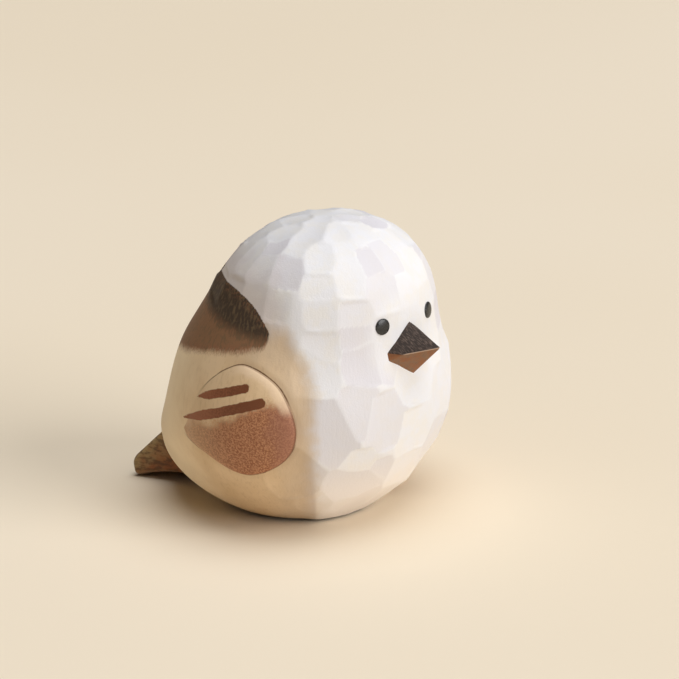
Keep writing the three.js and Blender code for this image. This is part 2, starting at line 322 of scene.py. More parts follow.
def knife_strokes():
    """All strokes: small ones on the crown, then columns from the crown down, then the broad breast cuts."""
    dice = np.random.default_rng(11)
    strokes = []
    for polar, count in CROWN_RINGS:
        for i in range(count):
            strokes.append(stroke_at(2 * math.pi * (i + dice.uniform(-0.2, 0.2)) / count, polar, dice))
    for column in range(STROKE_COLUMNS):
        turn = 2 * math.pi * (column + dice.uniform(-0.15, 0.15)) / STROKE_COLUMNS
        polar = dice.uniform(*COLUMN_START)
        while polar < COLUMN_END:
            stroke = stroke_at(turn, polar, dice)
            strokes.append(stroke)
            reach = np.linalg.norm(stroke["centre"] - STROKE_CENTRE)
            polar += STROKE_STEP * stroke["half_length"] / reach
            turn += dice.uniform(-0.06, 0.06)
    strokes = [stroke for stroke in strokes if stroke_is_wanted(stroke)]
    return strokes + [breast_cut(*cut) for cut in BREAST_CUTS]


def stroke_at(turn, polar, dice):
    """A stroke of random size. It is turn radians round from the front and polar radians from straight up."""
    direction = (math.sin(turn) * math.sin(polar), -math.cos(turn) * math.sin(polar), math.cos(polar))
    centre = skin_along(STROKE_CENTRE[None], direction)
    size = stroke_size(centre[0, 2])
    half_length = 0.5 * size["length"] * dice.uniform(*STROKE_LENGTHS)
    depth = size["depth"] + STROKE_SPREAD * dice.uniform(-0.5, 0.5)
    tilt = dice.uniform(-STROKE_TILT, STROKE_TILT)
    return stroke_from(centre, tilt, half_length, depth, dice.uniform(0, 1))


def breast_cut(turn, height, tilt, half_length):
    """One of the broad slanting cuts, as BREAST_CUTS lists it."""
    turn = math.radians(turn)
    start = np.array([[0.0, STROKE_CENTRE[1], height]])
    centre = skin_along(start, (math.sin(turn), -math.cos(turn), 0))
    return stroke_from(centre, math.radians(tilt), half_length, BREAST_CUT_DEPTH, 0.8)


def stroke_from(centre, tilt, half_length, depth, tone):
    """A stroke at a point of the skin, tilted from straight down. The flatter the skin, the wider it is."""
    normal = skin_normals(centre)[0]
    down = np.array((0.0, 0.0, -1.0)) + 1e-3 * normal
    down = down - normal * (down @ normal)
    down /= np.linalg.norm(down)
    sideways = np.cross(normal, down)
    along = math.cos(tilt) * down + math.sin(tilt) * sideways
    return {
        "centre": centre[0],
        "along": along,
        "across": np.cross(normal, along),
        "bow": 2.0 * max(12.0, math.hypot(centre[0, 0], centre[0, 1])),
        "half_length": half_length,
        "depth": depth,
        "tone": tone,
    }


def stroke_is_wanted(stroke):
    """The strokes lie in the white, above its foot."""
    centre = stroke["centre"][None]
    return inside_white(centre, degrees_from_front(centre))[0] > 0 and centre[0, 2] > 3


def carve(points):
    """How deep the knife went at each point, how near the next facet is, and each facet's own tone."""
    lowest = np.zeros(len(points))
    second = np.zeros(len(points))
    tone = np.full(len(points), 0.5)
    for stroke in knife_strokes():
        near = np.flatnonzero(np.linalg.norm(points - stroke["centre"], axis=1) < STROKE_REACH)
        offset = points[near] - stroke["centre"]
        across = offset @ stroke["across"]
        along = offset @ stroke["along"]
        past_end = np.clip(np.abs(along) - stroke["half_length"], 0, None)
        bend = across**2 / stroke["bow"] + along**2 / STROKE_BOW
        face = bend + LEDGE_SLOPE * past_end - stroke["depth"]
        deeper = face < lowest[near]
        second[near] = np.where(deeper, lowest[near], np.minimum(second[near], face))
        lowest[near] = np.minimum(lowest[near], face)
        tone[near] = np.where(deeper, stroke["tone"], tone[near])
    return lowest, second - lowest, tone


def face_calm(points):
    """1 where the knife strokes show in full, less round the beak and the eyes, which are sanded."""
    from_beak = np.linalg.norm((points - FACE_CENTRE) / (1.0, 1.0, 0.8), axis=1)
    return FACE_CALM + (1 - FACE_CALM) * smooth_step(from_beak, 7, 13)


# ---------------------------------------------------------------- wings


def wing_rim(samples):
    """The wing's outline, fitted to the box of the CAD wing."""
    low, high = node_box("right_wing")
    rim = closed_curve(WING_RIM, samples)
    share = (rim - rim.min(0)) / (rim.max(0) - rim.min(0))
    return low[1:] + share * (high[1:] - low[1:])


RIM = wing_rim(360)


def from_rim(y, z):
    """Signed distance from the wing's outline in the side view, negative inside it."""
    places = np.stack([y, z], axis=-1)
    distance = np.full(len(places), np.inf)
    for rim_point in RIM:
        distance = np.minimum(distance, np.linalg.norm(places - rim_point, axis=1))
    rim_angle = np.arctan2(RIM[:, 1] - WING_CENTRE[1], RIM[:, 0] - WING_CENTRE[0])
    rim_reach = np.linalg.norm(RIM - WING_CENTRE, axis=1)
    order = np.argsort(rim_angle)
    angle = np.arctan2(z - WING_CENTRE[1], y - WING_CENTRE[0])
    reach = np.interp(angle, rim_angle[order], rim_reach[order], period=2 * math.pi)
    inside = np.hypot(y - WING_CENTRE[0], z - WING_CENTRE[1]) < reach
    return np.where(inside, -distance, distance)


def forward_on_wing(y, z):
    """How far forward a place is, measured from a line that leans forwards as it rises."""
    return -y - WING_LEAN * (z - WING_CENTRE[1])


def front_share(y, z):
    """1 where the wing's edge is carved free, 0 behind, where the wing runs into the flank."""
    return smooth_step(forward_on_wing(y, z), -8.5, 4)


def groove_shade_share(y, z):
    """1 where painted shade darkens the groove along the wing's edge. It is missing only round the rear
    point.
    """
    return smooth_step(forward_on_wing(y, z), -7.0, -3.5)


def stripe_distance(y, z, rear, front, width):
    """Signed distance from a brushed stripe with a round front end and a thin rear end."""
    rear = np.array(rear)
    line = np.array(front) - rear
    offset = np.stack([y, z], axis=-1) - rear
    along = np.clip(offset @ line / (line @ line), 0, 1)
    radius = 0.5 * width * (0.2 + 0.8 * np.clip(along / 0.3, 0, 1))
    return np.linalg.norm(offset - along[:, None] * line, axis=1) - radius


def stripes(y, z):
    """Signed distance from the nearer of the two painted stripes."""
    return np.minimum(stripe_distance(y, z, **SHORT_STRIPE), stripe_distance(y, z, **LONG_STRIPE))


def wing_points(side):
    """Rings of points over the wing's outer face, round its rim, and back over its hidden inner face."""
    rim = wing_rim(180)
    # The rings on the outer face lie closer together towards the rim.
    outer = 1 - (1 - np.linspace(0.02, 1, 46)) ** 1.35
    inner = np.linspace(1, 0.04, 10)[1:]
    rings = []
    for spread in outer:
        place = WING_CENTRE + spread * (rim - WING_CENTRE)
        edge = -from_rim(place[:, 0], place[:, 1])
        share = front_share(place[:, 0], place[:, 1])
        rings.append(wing_ring(side, place, wing_height(edge, share, spread)))
    for spread in inner:
        place = WING_CENTRE + spread * (rim - WING_CENTRE)
        rings.append(wing_ring(side, place, np.full(len(place), -WING_DEPTH * (1 - spread**4))))
    return np.array(rings)


def wing_height(edge, share, spread):
    """Height over the flank: a rounded rim and a gently domed face. Behind, the edge sinks away."""
    edge = np.clip(edge, 0, None)
    short = 1 - np.clip(edge / WING_ROUNDING, 0, 1)
    carved = WING_PROUD * np.sqrt(1 - short**2.2) * (0.9 + 0.1 * (1 - spread**2))
    sunk = WING_REAR_PROUD - WING_REAR_SINK * (1 - smooth_step(edge, 0, 2.2))
    return share * carved + (1 - share) * sunk


def wing_ring(side, place, height):
    x = side * (flank_x(place[:, 0], place[:, 1]) + height)
    return np.stack([x, place[:, 0], place[:, 1]], axis=-1)


def stain_edge_height(y):
    """The brown stain lies below this line on the wing: it rises towards the front in a soft step."""
    return 24.6 - 0.3 * (y + 5) + 1.6 * smooth_step(y, -4, -9)


def build_wing(name, side, material):
    points, faces = capped_rings(wing_points(side))
    y, z = points[:, 1], points[:, 2]
    attributes = {
        "stripe": stripes(y, z),
        "stain": stain_edge_height(y) - z,
        "from_edge": -from_rim(y, z),
        "in_front": front_share(y, z),
        "towards_front": -y,
        "height": z,
    }
    make_piece(name + "_carved", name, points, faces, material, attributes)


# ---------------------------------------------------------------- body


def cube_sphere(cells):
    """Directions and square faces of a ball that is made of six square grids."""
    steps = np.arange(cells)
    u, v = (grid.ravel() for grid in np.meshgrid(steps, steps, indexing="ij"))
    patches = []
    for axis in range(3):
        for side in (0, cells):
            corners = []
            for du, dv in ((0, 0), (1, 0), (1, 1), (0, 1)):
                corner = np.empty((len(u), 3), int)
                corner[:, axis] = side
                corner[:, (axis + 1) % 3] = u + du
                corner[:, (axis + 2) % 3] = v + dv
                corners.append(corner)
            patches.append(np.stack(corners, axis=1))
    corners = np.concatenate(patches).reshape(-1, 3)
    keys = corners @ np.array((1, cells + 1, (cells + 1) ** 2))
    _, first, index = np.unique(keys, return_index=True, return_inverse=True)
    spread = np.tan((corners[first] / cells - 0.5) * (math.pi / 2))
    directions = spread / np.linalg.norm(spread, axis=1, keepdims=True)
    return directions, index.reshape(-1, 4)


def groove(points):
    """The flank is cut down towards the wing's free edge."""
    distance = from_rim(points[:, 1], points[:, 2])
    share = front_share(points[:, 1], points[:, 2]) * (np.abs(points[:, 0]) > FLANK_FROM_X)
    return -GROOVE_DEPTH * share * np.clip(1 - distance / GROOVE_WIDTH, 0, 1)


def build_body(material):
    directions, faces = cube_sphere(SKIN_CELLS)
    smooth = skin_along(np.broadcast_to(CORE, directions.shape).copy(), directions)
    depth, to_next_facet, tone = carve(smooth)
    angle = degrees_from_front(smooth)
    in_white = inside_white(smooth, angle)
    # This keeps what is drawn in the side view off the back and the breast.
    off_flank = 6 * (np.abs(smooth[:, 0]) < FLANK_FROM_X)
    rough_skin = STROKE_LIFT * stroke_size(smooth[:, 2])["depth"] * smooth_step(in_white, -2.5, 1.5)
    calm = face_calm(smooth)
    relief = (rough_skin + depth) * calm + groove(smooth)
    carved = smooth + skin_normals(smooth) * relief[:, None]
    # Whatever would reach below the table is brought back along its ray, onto the flat underside.
    rays = carved - CORE
    below = carved[:, 2] < 0
    carved[below] = CORE + rays[below] * (-CORE[2] / rays[below, 2])[:, None]
    attributes = {
        "white": in_white,
        "cape_top": inside_cape_top(smooth, angle),
        "cape_low": inside_cape_low(smooth, angle),
        "cape_dark": inside_cape_dark(smooth, angle),
        "ridge": to_next_facet,
        "tone": tone * calm,
        "wing_gap": from_rim(smooth[:, 1], smooth[:, 2]) + off_flank,
        "stripe": stripes(smooth[:, 1], smooth[:, 2]) + off_flank,
        "wing_line": groove_shade_share(smooth[:, 1], smooth[:, 2]),
        "height": smooth[:, 2],
        "from_front": angle,
    }
    make_piece("body_carved", "body", carved, faces, material, attributes)


# ---------------------------------------------------------------- tail

TAIL_ROOT_Y = 20  # where the tail starts, inside the rump
TAIL_ROOT_TOP = 18
TAIL_ROOT_LOW = 1.9
TAIL_ROOT_HALF_WIDTH = 8.2
TAIL_TIP_TOP = 3.3
TAIL_TIP_Y = 34.4
TAIL_HOLLOW_Y = 24.6  # from here to the tip the underside curves down to the table
TAIL_TIP_LEAN = 0.75  # the tip's lower edge is this far short of its upper edge
TAIL_EDGE = 1.1  # radius of the rounded edges


def resampled(outline, count):
    """A closed outline as count points at equal steps along it."""
    closed = np.vstack([outline, outline[:1]])
    steps = np.linalg.norm(np.diff(closed, axis=0), axis=1)
    run = np.concatenate([[0], np.cumsum(steps)])
    at = np.linspace(0, run[-1], count, endpoint=False)
    return np.stack([np.interp(at, run, closed[:, k]) for k in range(2)], axis=-1)


def rounded_section(half_width, low, high, radius):
    """A rectangle with round corners as points in (across, up)."""
    outline = []
    right, left = half_width, -half_width
    for across, up, start in ((right, high, 0), (left, high, 90), (left, low, 180), (right, low, 270)):
        middle_across = across - math.copysign(radius, across)
        middle_up = up - radius if up == high else up + radius
        for degrees in np.linspace(start, start + 90, 9):
            angle = math.radians(degrees)
            outline.append((middle_across + radius * math.cos(angle), middle_up + radius * math.sin(angle)))
    return resampled(np.array(outline), 150)


def underside(y, tip_y, tip_low):
    """Height of the tail's underside, which curves down towards the tip."""
    share = np.clip((y - TAIL_HOLLOW_Y) / (tip_y - TAIL_HOLLOW_Y), 0, 1)
    return TAIL_ROOT_LOW + (tip_low - TAIL_ROOT_LOW) * share**1.7


def tail_ring(y, inset, tip_y, tip_low, tip_half_width):
    """The tail's section at y. The inset draws it in for the rounded tip."""
    share = (y - TAIL_ROOT_Y) / (tip_y - TAIL_ROOT_Y)
    half_width = TAIL_ROOT_HALF_WIDTH + share * (tip_half_width - TAIL_ROOT_HALF_WIDTH)
    top = TAIL_ROOT_TOP + share * (TAIL_TIP_TOP - TAIL_ROOT_TOP)
    low = underside(y, tip_y, tip_low)
    section = rounded_section(half_width - inset, low + inset, top - inset, TAIL_EDGE - 0.6 * inset)
    lean = TAIL_TIP_LEAN * share**4 * (top - section[:, 1]) / (top - low)
    return np.stack([section[:, 0], y - lean, section[:, 1]], axis=-1)


def build_tail(material):
    low, high = node_box("tail")
    size = (high[1], low[2], high[0])
    rings = [tail_ring(y, 0, *size) for y in np.linspace(TAIL_ROOT_Y, high[1] - TAIL_EDGE, 60)]
    # The tip is as round as the long edges.
    for degrees in np.linspace(12, 84, 7):
        angle = math.radians(degrees)
        inset = TAIL_EDGE * (1 - math.cos(angle))
        rings.append(tail_ring(high[1] - TAIL_EDGE + TAIL_EDGE * math.sin(angle), inset, *size))
    points, faces = capped_rings(np.array(rings))
    top = TAIL_TIP_TOP + (high[1] - points[:, 1]) * (TAIL_ROOT_TOP - TAIL_TIP_TOP) / (high[1] - TAIL_ROOT_Y)
    attributes = {
        "below_top": top - points[:, 2],
        "above_low": points[:, 2] - underside(points[:, 1], TAIL_TIP_Y, 0),
    }
    make_piece("tail_carved", "tail", points, faces, material, attributes)


# ---------------------------------------------------------------- beak

BEAK_TIP = np.array((0, -29.8, 35.3))
BEAK_FOOT = np.array((0, -23.5, 33.75))
BEAK_HALF_WIDTH = 5.7  # at the foot
BEAK_HALF_HEIGHT = 4.7
BEAK_REACH = 1.3  # the beak is drawn on into the head by this share
BEAK_CUT_FROM = 0.79  # from this share on its side corners are cut off
BEAK_CUT_SPREAD = 3.8  # how fast the cut corners still move apart, in millimetres per share
BEAK_AROUND = 96


def beak_limit(share):
    """Half the width that the cut corners leave."""
    return BEAK_CUT_FROM * BEAK_HALF_WIDTH + BEAK_CUT_SPREAD * (share - BEAK_CUT_FROM)


def beak_ring(share):
    """A rhombus with worn corners, larger the further it is from the tip."""
    roundness = 1.05 + 0.05 * min(share, 1)
    angle = np.arange(BEAK_AROUND) * 2 * math.pi / BEAK_AROUND
    across = np.sign(np.cos(angle)) * np.abs(np.cos(angle)) ** (2 / roundness)
    up = np.sign(np.sin(angle)) * np.abs(np.sin(angle)) ** (2 / roundness)
    ring = np.zeros((BEAK_AROUND, 3)) + BEAK_TIP + share * (BEAK_FOOT - BEAK_TIP)
    ring[:, 0] += share * BEAK_HALF_WIDTH * across
    ring[:, 2] += share * BEAK_HALF_HEIGHT * up
    return ring


def build_beak(material):
    shares = np.concatenate([[0.02, 0.035, 0.045], np.linspace(0.055, BEAK_REACH, 46)])
    rings = np.array([beak_ring(share) for share in shares])
    # The tip is blunt: the first three rings are drawn back towards the fourth.
    rings[:3] = rings[3] + (rings[:3] - rings[3]) * (1, 0.35, 1)
    points, faces = capped_rings(rings)
    share = (points[:, 1] - BEAK_TIP[1]) / (BEAK_FOOT[1] - BEAK_TIP[1])
    past_cut = np.abs(points[:, 0]) - beak_limit(share)
    points[:, 0] -= np.sign(points[:, 0]) * np.clip(past_cut, 0, None)
    attributes = {
        "above_ridge": points[:, 2] - BEAK_TIP[2] - share * (BEAK_FOOT[2] - BEAK_TIP[2]),
        "cut_corner": past_cut,
    }
    make_piece("beak_carved", "beak", points, faces, material, attributes)


# ---------------------------------------------------------------- eyes

EYE_RADIUS = 1.48
EYE_DOME = 0.34
EYE_SUNK = 0.9  # how deep the bead goes into the face
EYE_STANDS_OUT = 0.08  # its rim stands this far out of the smooth block
EYE_AROUND = 48


def build_eye(name, material):
    """A polished bead: a shallow dome with a soft rim, set square to the face."""
    low, high = node_box(name)
    start = np.array([[(low[0] + high[0]) / 2, 0, (low[2] + high[2]) / 2]])
    seat = skin_along(start, (0, -1, 0))
    out = skin_normals(seat)[0]
    middle = seat[0] + EYE_STANDS_OUT * out
    side = np.cross((0, 0, 1), out)
    side /= np.linalg.norm(side)
    up = np.cross(out, side)
    rings = []
    for degrees in np.linspace(3, 90, 18):
        angle = math.radians(degrees)
        rings.append((EYE_RADIUS * math.sin(angle) ** 0.85, EYE_DOME * math.cos(angle)))
    rings.append((EYE_RADIUS, -0.5 * EYE_SUNK))
    rings.append((0.9 * EYE_RADIUS, -EYE_SUNK))
    around = np.arange(EYE_AROUND) * 2 * math.pi / EYE_AROUND
    spokes = np.cos(around)[:, None] * side + np.sin(around)[:, None] * up
    skin = np.array([middle + radius * spokes + height * out for radius, height in rings])
    points, faces = capped_rings(skin)
    attributes = {"from_middle": np.linalg.norm(points - middle, axis=1)}
    make_piece(name + "_bead", name, points, faces, material, attributes)


# ---------------------------------------------------------------- materials


class Paint:
    """A material put together from a few kinds of node. Sizes are in millimetres."""

    def __init__(self, name, roughness, specular=0.5):
        self.material = bpy.data.materials.new(name)
        self.material.use_nodes = True
        self.nodes = self.material.node_tree.nodes
        self.links = self.material.node_tree.links
        self.shader = self.nodes["Principled BSDF"]
        self.shader.inputs["Roughness"].default_value = roughness
        self.shader.inputs["Specular IOR Level"].default_value = specular
        self.place = self.nodes.new("ShaderNodeTexCoord").outputs["Object"]

    def feed(self, socket, value):
        if isinstance(value, bpy.types.NodeSocket):
            self.links.new(value, socket)
        else:
            socket.default_value = value

    def attribute(self, name):
        node = self.nodes.new("ShaderNodeAttribute")
        node.attribute_name = name
        return node.outputs["Fac"]

    def noise(self, size, stretch=(1, 1, 1), detail=3, roughness=0.55, seed=0):
        """Noise in blobs of this size, drawn out along X, Y and Z by stretch, around 0.5."""
        mapping = self.nodes.new("ShaderNodeMapping")
        mapping.inputs["Scale"].default_value = [1 / (MM * size * along) for along in stretch]
        mapping.inputs["Location"].default_value = (seed, 2.3 * seed, 3.7 * seed)
        self.feed(mapping.inputs["Vector"], self.place)
        texture = self.nodes.new("ShaderNodeTexNoise")
        texture.inputs["Scale"].default_value = 1
        texture.inputs["Detail"].default_value = detail
        texture.inputs["Roughness"].default_value = roughness
        self.feed(texture.inputs["Vector"], mapping.outputs["Vector"])
        return texture.outputs["Fac"]

    def math(self, operation, first, second=0.0, third=0.0):
        node = self.nodes.new("ShaderNodeMath")
        node.operation = operation
        for socket, value in zip(node.inputs, (first, second, third)):
            self.feed(socket, value)
        return node.outputs["Value"]

    def shifted(self, value, noise, amount):
        """The value moved up and down by the noise, at most about amount each way."""
        swing = self.math("SUBTRACT", noise, 0.5)
        return self.math("MULTIPLY_ADD", swing, 4 * amount, value)

    def step(self, value, low, high):
        """0 at low, 1 at high, smooth in between. Low may be the larger one."""
        node = self.nodes.new("ShaderNodeMapRange")
        node.interpolation_type = "SMOOTHSTEP"
        self.feed(node.inputs["Value"], value)
        node.inputs["From Min"].default_value = min(low, high)
        node.inputs["From Max"].default_value = max(low, high)
        node.inputs["To Min"].default_value = 0 if low < high else 1
        node.inputs["To Max"].default_value = 1 if low < high else 0
        return node.outputs["Result"]

    def times(self, *values):
        product = values[0]
        for value in values[1:]:
            product = self.math("MULTIPLY", product, value)
        return product

    def mix(self, share, under, over):
        """Two colours, as sockets or as display colours up to 255, mixed by share."""
        node = self.nodes.new("ShaderNodeMix")
        node.data_type = "RGBA"
        self.feed(node.inputs["Factor"], share)
        colors = [socket for socket in node.inputs if socket.type == "RGBA"]
        for socket, color in zip(colors, (under, over)):
            self.feed(socket, (*linear(color), 1) if isinstance(color, tuple) else color)
        return next(socket for socket in node.outputs if socket.type == "RGBA")

    def finish(self, color, relief=(), roughness=None):
        """Sets the colour, the roughness if it varies, and the relief as (height, depth in mm) pairs."""
        self.feed(self.shader.inputs["Base Color"], color)
        if roughness is not None:
            self.feed(self.shader.inputs["Roughness"], roughness)
        normal = None
        for height, depth in relief:
            bump = self.nodes.new("ShaderNodeBump")
            bump.inputs["Distance"].default_value = depth * MM
            self.feed(bump.inputs["Height"], height)
            if normal is not None:
                self.feed(bump.inputs["Normal"], normal)
            normal = bump.outputs["Normal"]
        if normal is not None:
            self.feed(self.shader.inputs["Normal"], normal)
        return self.material


WHITE = (233, 232, 235)
WHITE_WARM = (234, 231, 229)
WHITE_COOL = (217, 213, 219)
WHITE_DARKER_NEAR_CAPE = (204, 188, 178)  # the white is darker and browner next to the cape
WHITE_LOW_WARM_AND_LIT = (250, 238, 226)  # the breast is warmer and brighter towards the table: thin paint over the wood makes it warmer, and painted bounce light from the table makes it brighter
TAN_LIGHT = (232, 203, 165)
TAN_DEEP = (221, 190, 149)
TAN_GRAIN = (186, 151, 111)
TAN_PALE = (204, 184, 162)  # the tan is thin where it meets the white
# painted light: the tan is drawn lighter on the back, as if lit there
TAN_PAINTED_LIGHT_BEHIND = (252, 230, 194)
# painted shade for the groove round the wing
GROOVE_SHADE = (104, 72, 46)
# painted shade for the foot where the block meets the table
FOOT_SHADE = (62, 40, 24)
CAPE_DARK = (70, 55, 42)
CAPE_OLIVE = (116, 96, 70)
CAPE_BROWN = (142, 104, 74)
CAPE_RED = (146, 100, 72)
STRIPE_BROWN = (156, 96, 64)
STRIPE_DARK = (118, 69, 42)
STAIN_BROWN = (192, 135, 96)
STAIN_RED = (142, 84, 56)
STAIN_PLUM = (154, 102, 86)
# painted highlight for the wing's upper front rim
RIM_HIGHLIGHT = (232, 204, 172)
TAIL_OLIVE = (174, 146, 102)
TAIL_DARK = (92, 70, 48)
TAIL_RED = (156, 98, 60)
# painted bounce light for the tail's lower edge
TAIL_BOUNCE_LIGHT = (160, 128, 98)
BEAK_DARK = (52, 41, 35)
BEAK_LINE = (114, 95, 84)
BEAK_BROWN = (140, 104, 76)
BEAK_RUST = (148, 96, 62)
BEAK_WORN = (196, 166, 142)
EYE_BLACK = (30, 29, 28)
# painted reflection for the ring round the eye bead
EYE_RING_REFLECTION = (52, 51, 50)
FLOOR_CREAM = (242, 227, 203)
FLOOR_LIGHT = (244, 230, 208)
BARE_WOOD = (214, 188, 148)
BARE_GRAIN = (186, 152, 108)


def tan_stain(paint):
    """The tan that body and wings share, so that the wings run into the flanks behind."""
    clouds = paint.noise(9, stretch=(1, 1, 1.6), seed=1)
    streaks = paint.noise(0.55, stretch=(1, 1, 14), detail=2, seed=2)
    color = paint.mix(paint.step(clouds, 0.35, 0.65), TAN_DEEP, TAN_LIGHT)
    return paint.mix(paint.times(paint.step(streaks, 0.5, 0.72), 0.22), color, TAN_GRAIN)


def white_coat(paint, mottle, height):
    """White with a tone of its own on every facet, a painted highlight on the ridges, darker and browner next
    to the cape, and warmer and brighter towards the table, where painted bounce light brightens it.
    """
    white = paint.mix(paint.step(mottle, 0.38, 0.62), WHITE_WARM, WHITE)
    white = paint.mix(paint.times(paint.step(paint.attribute("tone"), 0.3, 1), 0.8), white, WHITE_COOL)
    # painted highlight: the facet ridges are drawn lighter, as if they caught the light
    ridge_highlight = paint.step(paint.attribute("ridge"), 0.07, 0.01)
    white = paint.mix(paint.times(ridge_highlight, 0.5), white, WHITE)
    # painted bounce light with thin warm paint: the white is drawn warmer and brighter towards the table
    white = paint.mix(paint.times(paint.step(height, 20, 4), 0.75), white, WHITE_LOW_WARM_AND_LIT)
    # the white is mixed darker and browner just above the line of the cape's upper edge
    near_cape = paint.step(paint.shifted(paint.attribute("cape_top"), mottle, 1.5), -8, -0.5)
    return paint.mix(paint.times(near_cape, 0.6), white, WHITE_DARKER_NEAR_CAPE)


def tan_coat(paint, mottle, white_edge):
    """The body's tan, paler beside the white, with painted light that makes it lighter behind."""
    near_white = paint.step(white_edge, -10, -2)
    tan = paint.mix(paint.times(near_white, 0.55), tan_stain(paint), TAN_PALE)
    # painted light: the tan is mixed lighter towards the back
    behind = paint.step(paint.shifted(paint.attribute("from_front"), mottle, 5), 90, 130)
    return paint.mix(paint.times(behind, 0.9), tan, TAN_PAINTED_LIGHT_BEHIND)


def in_groove_shade(paint, mottle, height):
    """How strong the painted shade in the groove round the wing is: faint beside the wing's middle."""
    gap = paint.shifted(paint.attribute("wing_gap"), mottle, 0.06)
    beside_middle = paint.times(paint.step(height, 18, 20.5), paint.step(height, 28.5, 26))
    strength = paint.math("MULTIPLY_ADD", beside_middle, -0.7, 0.9)
    strength = paint.times(strength, paint.attribute("wing_line"))
    return paint.times(paint.step(gap, 0.26, 0.1), strength)


def in_stripe(paint):
    """1 inside the stripes, which run on over the wing's rear edge onto the flank."""
    brush = paint.noise(0.5, stretch=(1, 4, 1), seed=9)
    return paint.step(paint.shifted(paint.attribute("stripe"), brush, 0.12), 0.06, -0.12)


def with_cape(paint, color, brush, mottle):
    """The colour with the cape brushed over it: dark above, brown below, with a fringed lower edge."""
    hairs = paint.noise(0.22, stretch=(1, 1, 9), detail=2, seed=6)
    cape_top = paint.attribute("cape_top")
    in_top = paint.step(paint.shifted(cape_top, hairs, 0.12), 0.0, 0.2)
    fringe = paint.shifted(paint.shifted(paint.attribute("cape_low"), hairs, 0.4), mottle, 0.3)
    in_cape = paint.times(in_top, paint.step(fringe, -0.9, 0.8))
    cape = paint.mix(paint.step(fringe, -0.2, 1.8), CAPE_RED, CAPE_BROWN)
    dark = paint.step(paint.shifted(paint.attribute("cape_dark"), brush, 0.9), -1.2, 1.6)
    cape = paint.mix(dark, cape, CAPE_DARK)
    cape = paint.mix(paint.times(paint.step(brush, 0.46, 0.66), 0.65), cape, CAPE_OLIVE)
    light_hairs = paint.times(paint.step(hairs, 0.54, 0.62), paint.step(cape_top, 2.2, 0.5))
    cape = paint.mix(paint.times(light_hairs, 0.6), cape, CAPE_RED)
    return paint.mix(in_cape, color, cape)


def body_paint():
    paint = Paint("body_paint", roughness=0.6, specular=0.35)
    brush = paint.noise(0.5, stretch=(1, 1, 5), seed=3)
    mottle = paint.noise(3.2, seed=4)
    fine = paint.noise(0.28, detail=4, seed=5)
    height = paint.attribute("height")
    white_edge = paint.shifted(paint.shifted(paint.attribute("white"), mottle, 0.9), brush, 0.2)
    tan = tan_coat(paint, mottle, white_edge)
    white = white_coat(paint, mottle, height)
    color = paint.mix(paint.step(white_edge, -2.6, 2.6), tan, white)
    # painted shade in the groove round the wing
    color = paint.mix(in_groove_shade(paint, mottle, height), color, GROOVE_SHADE)
    color = paint.mix(in_stripe(paint), color, STRIPE_BROWN)
    # painted shade: the foot is darkened where the block meets the table
    foot = paint.step(paint.shifted(height, mottle, 0.15), 1.2, 0.3)
    color = paint.mix(paint.times(foot, 0.85), color, FOOT_SHADE)
    color = with_cape(paint, color, brush, mottle)
    return paint.finish(color, relief=((brush, 0.03), (fine, 0.03)))


def wing_paint():
    paint = Paint("wing_paint", roughness=0.55, specular=0.35)
    speckle = paint.noise(0.34, detail=4, roughness=0.75, seed=7)
    mottle = paint.noise(2.4, seed=8)
    brush = paint.noise(0.5, stretch=(1, 4, 1), seed=9)
    from_edge = paint.attribute("from_edge")
    in_front = paint.attribute("in_front")
    forward = paint.attribute("towards_front")
    height = paint.attribute("height")

    stained = paint.shifted(paint.shifted(paint.attribute("stain"), mottle, 1.0), speckle, 1.2)
    strength = paint.math("MULTIPLY_ADD", paint.step(forward, -8, 6), 0.4, 0.56)
    stain = paint.mix(paint.step(speckle, 0.42, 0.58), STAIN_RED, STAIN_BROWN)
    plum = paint.step(paint.shifted(forward, mottle, 1.0), 9.5, 13)
    stain = paint.mix(paint.times(plum, 0.6), stain, STAIN_PLUM)
    color = paint.mix(paint.times(paint.step(stained, -0.8, 2.0), strength), tan_stain(paint), stain)

    # painted highlight: the wing's upper front rim is drawn lighter, where light falls on its bevel
    upper = paint.times(paint.step(height, 24.5, 27), paint.step(forward, 1, 6))
    rim_highlight = paint.times(paint.step(paint.shifted(from_edge, mottle, 0.3), 1.6, 0.7), upper, 0.75)
    color = paint.mix(rim_highlight, color, RIM_HIGHLIGHT)

    stripe = paint.mix(paint.step(paint.shifted(forward, speckle, 6), -4, 7), STRIPE_BROWN, STRIPE_DARK)
    color = paint.mix(in_stripe(paint), color, stripe)

    # painted shade along the wing's free rim, next to the groove
    outline = paint.times(paint.step(from_edge, 0.16, 0.04), in_front, 0.6)
    color = paint.mix(outline, color, GROOVE_SHADE)
    return paint.finish(color, relief=((brush, 0.04), (speckle, 0.04)))


def tail_paint():
    paint = Paint("tail_paint", roughness=0.6, specular=0.3)
    strokes = paint.noise(0.45, stretch=(1, 5, 1.6), seed=10)
    mottle = paint.noise(2.2, seed=11)
    under_top = paint.shifted(paint.attribute("below_top"), mottle, 2.5)
    color = paint.mix(paint.step(under_top, 0.5, 7.5), TAIL_OLIVE, TAIL_RED)
    color = paint.mix(paint.times(paint.step(strokes, 0.42, 0.62), 0.7), color, TAIL_DARK)
    # painted bounce light: the tail's lower edge is drawn lighter, as if lit from the table
    bounce_lit_edge = paint.step(paint.shifted(paint.attribute("above_low"), mottle, 0.1), 0.7, 0.3)
    color = paint.mix(paint.times(bounce_lit_edge, 0.7), color, TAIL_BOUNCE_LIGHT)
    return paint.finish(color, relief=((strokes, 0.07), (mottle, 0.08)))


